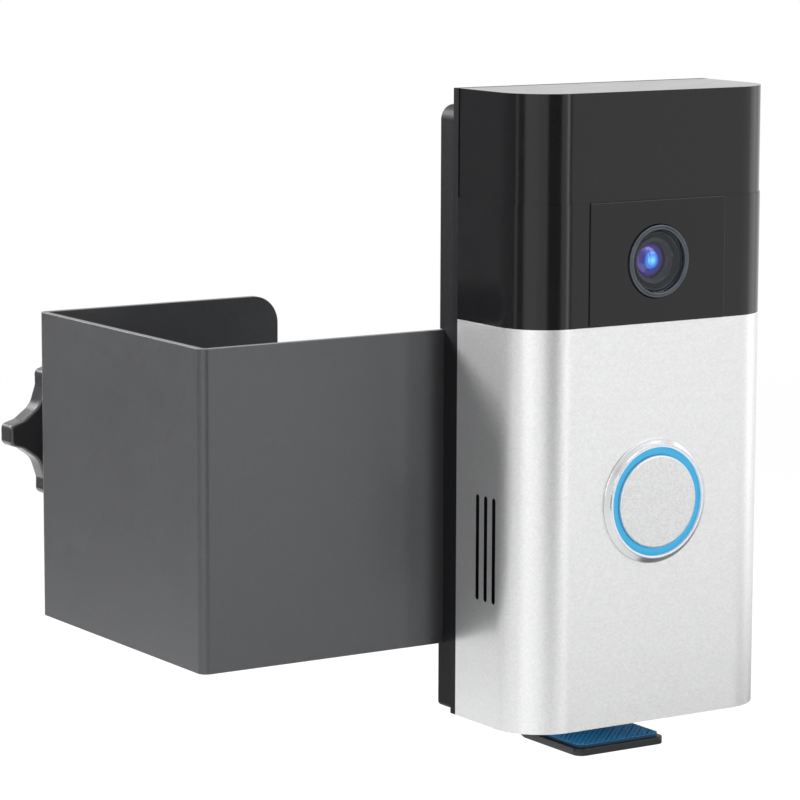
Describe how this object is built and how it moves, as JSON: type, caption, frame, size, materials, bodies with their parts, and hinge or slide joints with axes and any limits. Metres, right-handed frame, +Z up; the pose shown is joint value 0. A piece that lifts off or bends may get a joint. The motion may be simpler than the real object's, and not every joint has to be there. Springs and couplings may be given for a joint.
{
  "type": "video doorbell",
  "caption": "Battery video doorbell with a camera window and a lit push button, held to a door edge by a sheet-steel clamp with a star knob.",
  "frame": {"origin": "on the door's outer face, at the middle of the doorbell's width and height", "axes": "+Z up, +Y into the door, +X to the right as a visitor faces the doorbell"},
  "size_m": [0.1201, 0.1125, 0.1347],
  "materials": {
    "clamp_steel": "dark grey satin paint on sheet steel",
    "zinc_steel": "zinc-plated, light scratches",
    "tray_black": "matt black moulded plastic",
    "door_foam": "closed-cell foam pad",
    "tab_steel": "black powder coat",
    "tab_foam": "blue textured foam",
    "gloss_black": "polished black plastic",
    "panel_black": "polished infrared-clear black plastic",
    "housing_black": "fine-grained black plastic",
    "satin_metal": "satin metal with a fine horizontal grain",
    "lip_white": "clear-white rim",
    "light_blue": "lit blue diffuser",
    "window_glass": "dark coated glass",
    "lens_glass": "blue-violet coated lens",
    "lens_black": "black lens parts",
    "board_green": "solder-masked circuit board",
    "chip_black": "moulded chip package",
    "shield_metal": "plated shield can",
    "contact_brass": "plated brass",
    "battery_wrap": "shrink-wrapped pack",
    "pack_foam": "foam spacer",
    "knob_black": "black moulded plastic",
    "foot_black": "black moulded plastic",
    "foot_rubber": "black rubber",
    "switch_black": "moulded switch",
    "led_white": "light-emitting diode package"
  },
  "bodies": {
    "housing": {"clamp_bracket": "clamp_steel", "weld_nut": "zinc_steel", "mount_tray": "tray_black", "tray_rivets": "zinc_steel", "tab_rivets": "zinc_steel", "upper_door_pad": "door_foam", "lower_door_pads": "door_foam", "guard_tab": "tab_steel", "tab_pad": "tab_foam", "wall_plate": "tray_black", "plate_screws": "zinc_steel", "rear_housing": "housing_black", "faceplate": "satin_metal", "camera_housing": "gloss_black", "top_cap": "gloss_black", "camera_panel": "panel_black", "lens_ring": "lens_black", "lens_window": "window_glass", "lens_barrel": "lens_black", "front_lens": "lens_glass", "image_sensor": "board_green", "infrared_leds": "led_white", "motion_sensor": "shield_metal", "motion_lens": "lip_white", "main_board": "board_green", "board_screws": "zinc_steel", "wifi_module": "shield_metal", "processor": "chip_black", "microphone": "contact_brass", "battery": "battery_wrap", "battery_foam": "pack_foam", "speaker": "chip_black", "speaker_gasket": "pack_foam", "button_bezel": "satin_metal", "button_lip": "lip_white", "light_ring": "light_blue", "switch_body": "switch_black", "led_board": "board_green", "ring_leds": "led_white", "terminal_board": "board_green", "terminal_screws": "zinc_steel", "terminal_bushes": "contact_brass", "charging_port": "shield_metal", "housing_screws": "zinc_steel", "security_screw": "zinc_steel"},
    "button": {"button_cap": "satin_metal", "switch_stem": "switch_black"},
    "clamp_foot": {"pressure_plate": "foot_black", "pressure_pad": "foot_rubber", "swivel_cap": "zinc_steel"},
    "knob": {"star_knob": "knob_black", "knob_stud": "zinc_steel"}
  },
  "joints": [
    {"name": "button_press", "type": "slide", "parent": "housing", "child": "button", "axis": [0, 1, 0], "range_m": [0, 0.0005], "stiffness_N_per_m": 900},
    {"name": "clamp_feed", "type": "slide", "parent": "housing", "child": "clamp_foot", "axis": [0, 1, 0], "range_m": [-0.005, 0.015]},
    {"name": "knob_turn", "type": "hinge", "parent": "clamp_foot", "child": "knob", "pos_m": [-0.0748, 0.08, -0.0125], "axis": [0, 1, 0], "range_deg": [-1800, 5400]}
  ],
  "couplings": [
    {"joint": "knob_turn", "follows": "clamp_feed", "rad_per_m": 6283.2}
  ]
}
